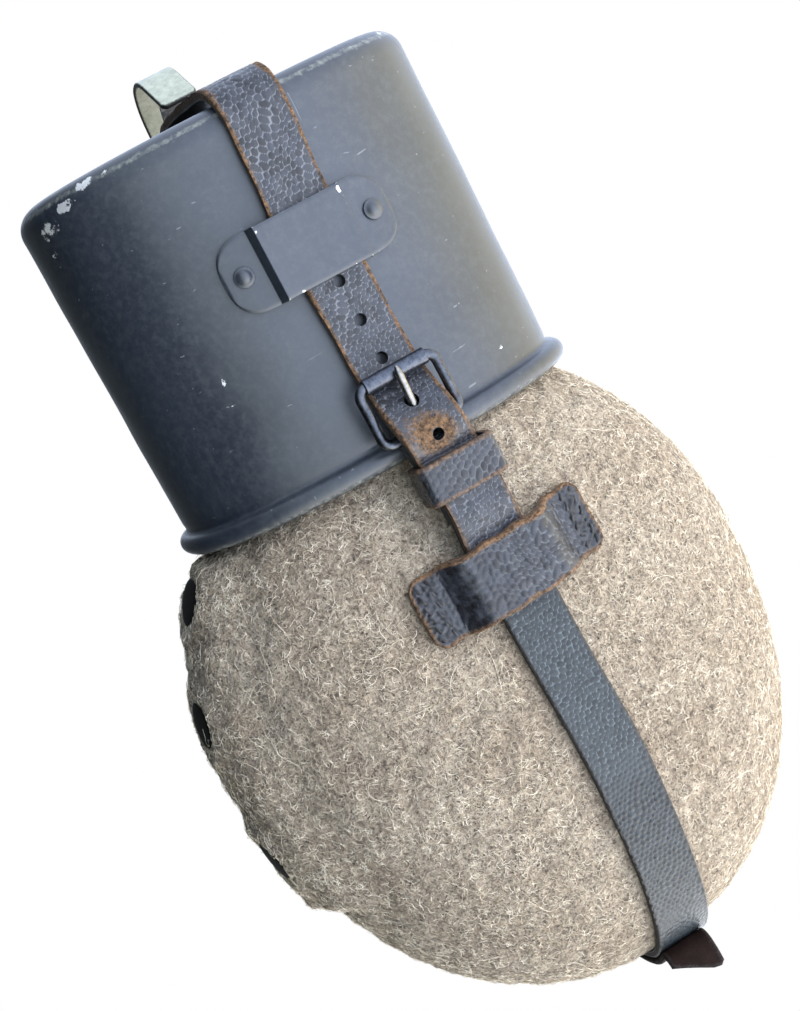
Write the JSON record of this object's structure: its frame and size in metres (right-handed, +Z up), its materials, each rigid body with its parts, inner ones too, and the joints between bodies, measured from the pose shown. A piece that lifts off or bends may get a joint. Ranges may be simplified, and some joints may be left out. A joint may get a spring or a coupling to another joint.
{
  "type": "field canteen",
  "caption": "Felt-covered aluminium field canteen with an oval cup turned over its neck, a leather strap with roller buckle, and a belt hook.",
  "frame": {"origin": "top of the inside of the belt hook's bend, where a belt ring hangs", "axes": "+Z up along the flask, from its bottom to the cup's base; -Y towards the buckle and strap in front; +X to the right seen from the front"},
  "size_m": [0.1497, 0.1087, 0.2695],
  "materials": {
    "wool_felt": "heathered grey-brown wool felt, hairy and matt",
    "flask_aluminium": "spun aluminium, dull",
    "cup_paint": "satin blue-black paint over aluminium, chipped at edges",
    "stopper_bakelite": "dark moulded resin",
    "seal_rubber": "red-brown rubber",
    "snap_paint": "near-black paint",
    "snap_brass": "dull brass",
    "worn_leather": "pebbled black leather, worn brown at its edges",
    "strap_leather": "smoother pebbled black leather",
    "buckle_steel": "dark blued steel, bright where it rubs",
    "handle_steel": "dull bare steel",
    "hook_paint": "grey-green paint on sheet steel, dark at its edges"
  },
  "bodies": {
    "flask": {"flask_shell": "flask_aluminium", "felt_front": "wool_felt", "felt_back": "wool_felt", "snap_cap_1": "snap_paint", "snap_cap_2": "snap_paint", "snap_cap_3": "snap_paint", "snap_stud_1": "snap_brass", "snap_stud_2": "snap_brass", "snap_stud_3": "snap_brass", "buckle_strap": "strap_leather", "tongue_strap": "worn_leather", "front_keeper": "worn_leather", "rear_keeper": "worn_leather", "bottom_tab": "worn_leather", "hook_chape": "strap_leather", "chape_rivet_1": "buckle_steel", "chape_rivet_2": "buckle_steel"},
    "cup": {"cup_shell": "cup_paint", "strap_bracket": "cup_paint", "bracket_rivet_left": "cup_paint", "bracket_rivet_right": "cup_paint", "handle_clip_left": "handle_steel", "handle_clip_right": "handle_steel", "handle_rivet_left_low": "cup_paint", "handle_rivet_left_high": "cup_paint", "handle_rivet_right_low": "cup_paint", "handle_rivet_right_high": "cup_paint"},
    "stopper_lift": {"stopper_seal": "seal_rubber"},
    "stopper": {"screw_stopper": "stopper_bakelite"},
    "handle_left": {"cup_handle_left": "handle_steel"},
    "handle_right": {"cup_handle_right": "handle_steel"},
    "buckle": {"buckle_frame": "buckle_steel"},
    "roller": {"buckle_roller": "buckle_steel"},
    "prong": {"buckle_prong": "buckle_steel"},
    "slider": {"sliding_keeper": "worn_leather"},
    "hook": {"belt_hook": "hook_paint", "gate_pin": "handle_steel"},
    "gate": {"hook_gate": "handle_steel"}
  },
  "joints": [
    {"name": "cup_lift", "type": "slide", "parent": "flask", "child": "cup", "axis": [0, 0, 1], "range_m": [0, 0.0005]},
    {"name": "stopper_raise", "type": "slide", "parent": "flask", "child": "stopper_lift", "axis": [0, 0, 1], "range_m": [0, 0.0072]},
    {"name": "stopper_turn", "type": "hinge", "parent": "stopper_lift", "child": "stopper", "pos_m": [-0.003, -0.043, -0.0617], "axis": [0, 0, 1], "range_deg": [0, 720]},
    {"name": "handle_left_fold", "type": "hinge", "parent": "cup", "child": "handle_left", "pos_m": [-0.0195, -0.00615, -0.0612], "axis": [0, 0, -1], "range_deg": [0, 105]},
    {"name": "handle_right_fold", "type": "hinge", "parent": "cup", "child": "handle_right", "pos_m": [0.0135, -0.00615, -0.0612], "axis": [0, 0, 1], "range_deg": [0, 105]},
    {"name": "buckle_tilt", "type": "hinge", "parent": "flask", "child": "buckle", "pos_m": [-0.001, -0.0896, -0.1062], "axis": [1, 0, 0], "range_deg": [0, 2]},
    {"name": "roller_spin", "type": "hinge", "parent": "buckle", "child": "roller", "pos_m": [-0.001, -0.08935, -0.0913], "axis": [1, 0, 0], "continuous": true},
    {"name": "prong_lift", "type": "hinge", "parent": "buckle", "child": "prong", "pos_m": [-0.001, -0.0896, -0.1062], "axis": [1, 0, 0], "range_deg": [0, 2]},
    {"name": "slider_slide", "type": "slide", "parent": "flask", "child": "slider", "axis": [0, 0, 1], "range_m": [-0.002, 0]},
    {"name": "hook_swing", "type": "hinge", "parent": "flask", "child": "hook", "pos_m": [0, 0.00205, -0.0487], "axis": [-1, 0, 0], "range_deg": [0, 100]},
    {"name": "gate_open", "type": "hinge", "parent": "hook", "child": "gate", "pos_m": [0, 0.0032, -0.0387], "axis": [-1, 0, 0], "range_deg": [0, 14], "stiffness_Nm_per_rad": 0.02, "springref_deg": -17.19}
  ],
  "couplings": [
    {"joint": "stopper_raise", "follows": "stopper_turn", "m_per_rad": 0.00057296}
  ]
}
